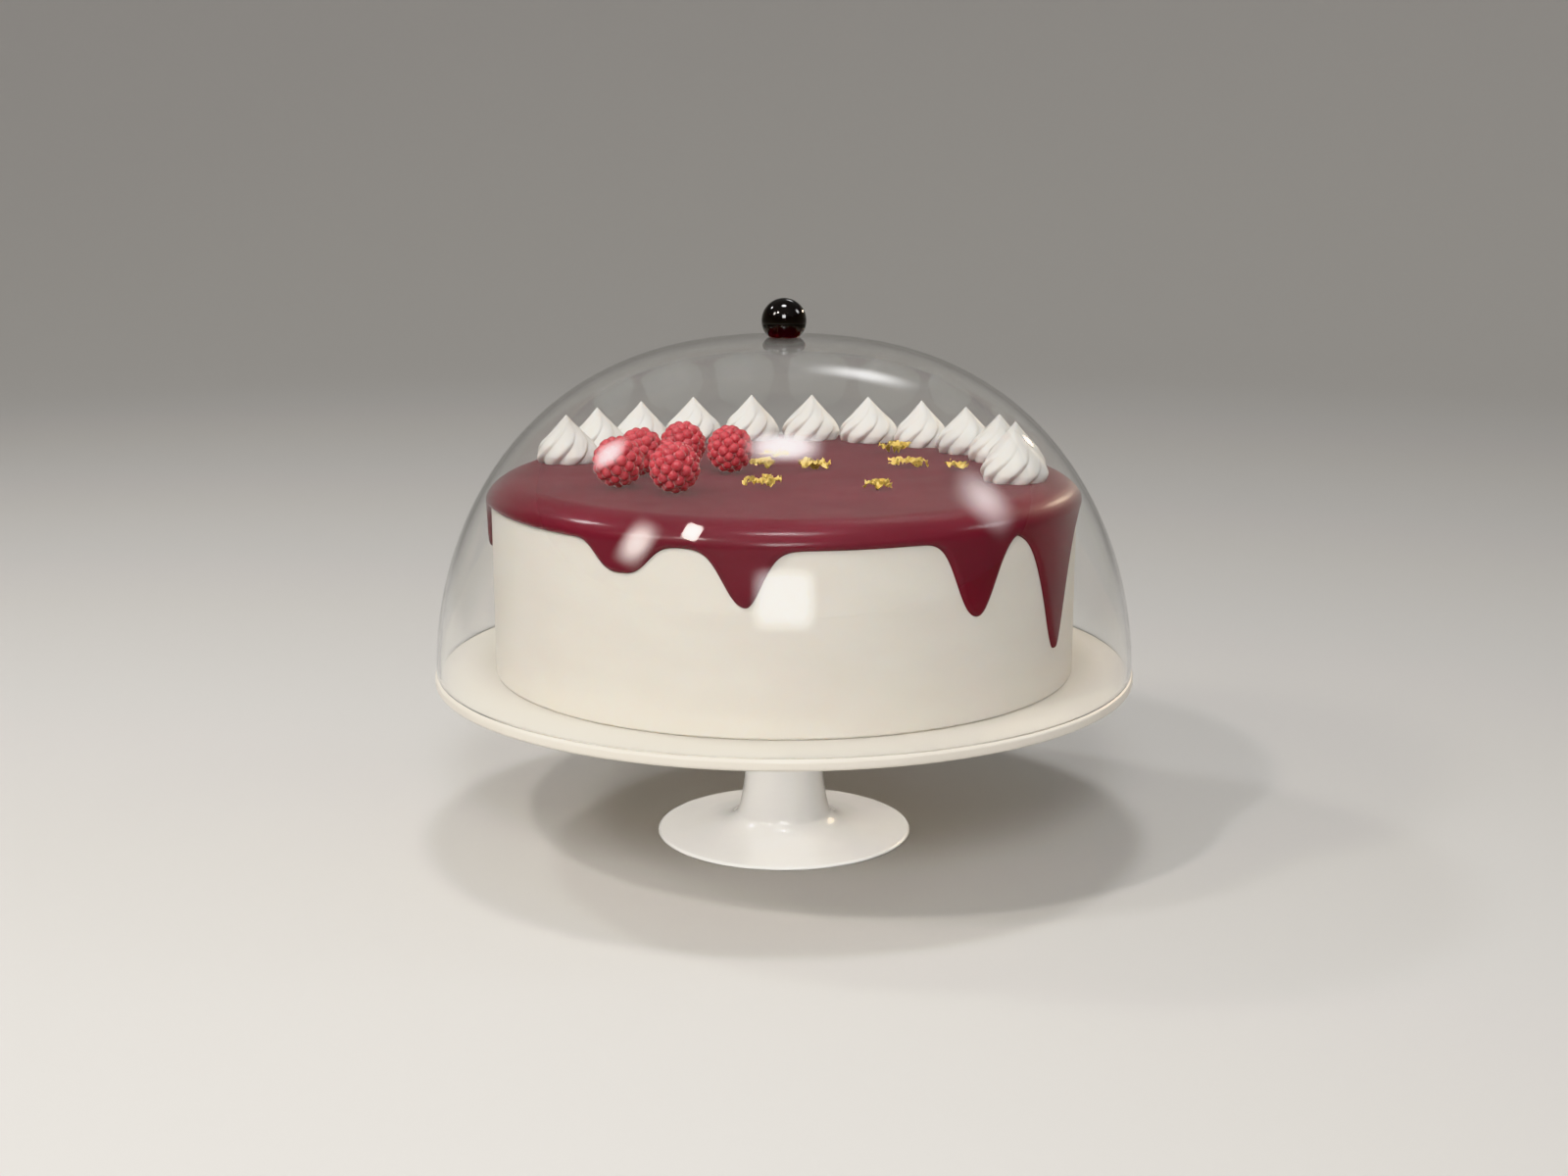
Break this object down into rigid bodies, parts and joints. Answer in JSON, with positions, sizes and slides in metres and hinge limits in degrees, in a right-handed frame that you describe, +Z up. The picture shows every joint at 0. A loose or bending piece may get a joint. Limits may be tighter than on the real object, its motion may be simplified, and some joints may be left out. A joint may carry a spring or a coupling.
{
  "type": "glazed cake on cake stand",
  "caption": "Round cake with a glossy dripping berry glaze, piped swirls, berries and gold leaf, on a footed stand under a clear glass dome.",
  "frame": {"origin": "centre of the foot's underside, on the surface that the stand rests on", "axes": "+Z up along the stand's axis; -Y towards the front, the side the picture shows; +X to the viewer's right"},
  "size_m": [0.2696, 0.27, 0.2101],
  "materials": {
    "pedestal_ceramic": "glossy white glaze",
    "plate_ceramic": "satin cream glaze",
    "frosting": "smooth cream frosting, satin",
    "glaze": "burgundy mirror glaze, very glossy",
    "gold_leaf": "crumpled metal leaf",
    "piped_cream": "whipped cream, soft matt",
    "berry": "moist red berry",
    "clear_glass": "clear polished glass",
    "black_knob": "polished black"
  },
  "bodies": {
    "root": {"pedestal": "pedestal_ceramic", "plate": "plate_ceramic", "cake": "frosting", "glaze": "glaze", "swirl_01": "piped_cream", "swirl_02": "piped_cream", "swirl_03": "piped_cream", "swirl_04": "piped_cream", "swirl_05": "piped_cream", "swirl_06": "piped_cream", "swirl_07": "piped_cream", "swirl_08": "piped_cream", "swirl_09": "piped_cream", "swirl_10": "piped_cream", "swirl_11": "piped_cream", "swirl_12": "piped_cream", "berry_1": "berry", "berry_2": "berry", "berry_3": "berry", "berry_4": "berry", "berry_5": "berry", "dome": "clear_glass", "knob": "black_knob"}
  },
  "joints": []
}
